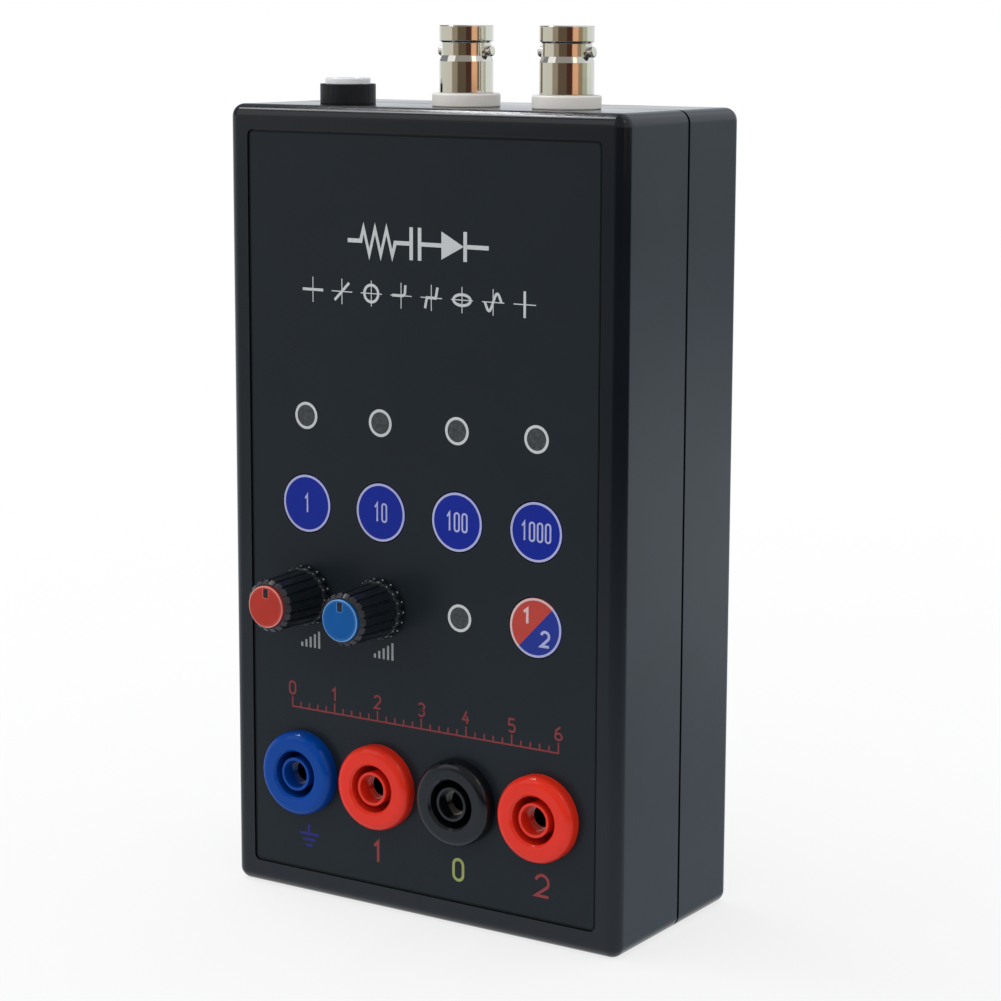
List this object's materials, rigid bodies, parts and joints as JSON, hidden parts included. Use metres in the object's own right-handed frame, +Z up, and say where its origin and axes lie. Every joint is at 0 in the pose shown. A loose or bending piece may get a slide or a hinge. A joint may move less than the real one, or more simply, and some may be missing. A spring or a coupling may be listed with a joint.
{
  "type": "component tester",
  "caption": "Hand-held curve tester: two-part black case with range keys, fluted knobs, indicator windows, shrouded test sockets, bayonet jacks and a power inlet.",
  "frame": {"origin": "middle of the bottom face that the tester stands on", "axes": "+Z up along the case, +X to the right seen from the front, -Y out of the front panel"},
  "size_m": [0.0844, 0.053, 0.1613],
  "materials": {
    "case_plastic": "black moulded ABS with a fine spark-eroded texture",
    "printed_film": "matt black printed polyester film",
    "knob_plastic": "black moulded knob plastic",
    "black_plastic": "glossy black nylon",
    "blue_plastic": "glossy blue nylon",
    "red_plastic": "glossy red nylon",
    "white_plastic": "natural white nylon",
    "button_blue": "blue key with a pale printed ring",
    "button_split": "key printed half red and half blue with a pale ring",
    "clear_window": "smoked clear window",
    "led_resin": "diffused indicator resin",
    "nickel": "bright nickel plate",
    "gold_plate": "gold-plated contact",
    "zinc_screw": "zinc-plated steel",
    "circuit_board": "green solder mask",
    "switch_plastic": "black switch plastic",
    "relay_plastic": "pale relay case",
    "capacitor_sleeve": "dark blue sleeve",
    "chip_resin": "black moulding resin"
  },
  "bodies": {
    "case": {"front_shell": "case_plastic", "rear_shell": "case_plastic", "case_screws": "zinc_screw", "panel_film": "printed_film", "indicator_windows": "clear_window", "indicator_leds": "led_resin", "key_switches": "switch_plastic", "main_board": "circuit_board", "board_screws": "zinc_screw", "range_relays": "relay_plastic", "filter_capacitors": "capacitor_sleeve", "amplifier_chips": "chip_resin", "voltage_regulator": "chip_resin", "left_potentiometer": "zinc_screw", "right_potentiometer": "zinc_screw", "blue_socket": "blue_plastic", "left_red_socket": "red_plastic", "black_socket": "black_plastic", "right_red_socket": "red_plastic", "socket_contacts": "nickel", "socket_nuts": "nickel", "left_bayonet_jack": "nickel", "right_bayonet_jack": "nickel", "bayonet_insulators": "white_plastic", "bayonet_contacts": "gold_plate", "bayonet_washers": "white_plastic", "inner_washers": "white_plastic", "ground_tags": "nickel", "bayonet_nuts": "nickel", "inlet_housing": "black_plastic", "inlet_ring_nut": "black_plastic", "inlet_pin": "nickel", "inlet_tags": "nickel"},
    "range_button_1_body": {"range_button_1": "button_blue", "range_plunger_1": "switch_plastic"},
    "range_button_2_body": {"range_button_2": "button_blue", "range_plunger_2": "switch_plastic"},
    "range_button_3_body": {"range_button_3": "button_blue", "range_plunger_3": "switch_plastic"},
    "range_button_4_body": {"range_button_4": "button_blue", "range_plunger_4": "switch_plastic"},
    "channel_button_body": {"channel_button": "button_split", "channel_plunger": "switch_plastic"},
    "left_knob_body": {"left_knob": "knob_plastic", "left_knob_cap": "red_plastic", "left_shaft": "zinc_screw"},
    "right_knob_body": {"right_knob": "knob_plastic", "right_knob_cap": "blue_plastic", "right_shaft": "zinc_screw"}
  },
  "joints": [
    {"name": "range_button_1_press", "type": "slide", "parent": "case", "child": "range_button_1_body", "axis": [0, 1, 0], "range_m": [0, 0.0004], "stiffness_N_per_m": 4000},
    {"name": "range_button_2_press", "type": "slide", "parent": "case", "child": "range_button_2_body", "axis": [0, 1, 0], "range_m": [0, 0.0004], "stiffness_N_per_m": 4000},
    {"name": "range_button_3_press", "type": "slide", "parent": "case", "child": "range_button_3_body", "axis": [0, 1, 0], "range_m": [0, 0.0004], "stiffness_N_per_m": 4000},
    {"name": "range_button_4_press", "type": "slide", "parent": "case", "child": "range_button_4_body", "axis": [0, 1, 0], "range_m": [0, 0.0004], "stiffness_N_per_m": 4000},
    {"name": "channel_button_press", "type": "slide", "parent": "case", "child": "channel_button_body", "axis": [0, 1, 0], "range_m": [0, 0.0004], "stiffness_N_per_m": 4000},
    {"name": "left_knob_turn", "type": "hinge", "parent": "case", "child": "left_knob_body", "pos_m": [-0.0249, -0.02025, 0.05735], "axis": [0, 1, 0], "range_deg": [-150, 150]},
    {"name": "right_knob_turn", "type": "hinge", "parent": "case", "child": "right_knob_body", "pos_m": [-0.0083, -0.02025, 0.0569], "axis": [0, 1, 0], "range_deg": [-150, 150]}
  ]
}
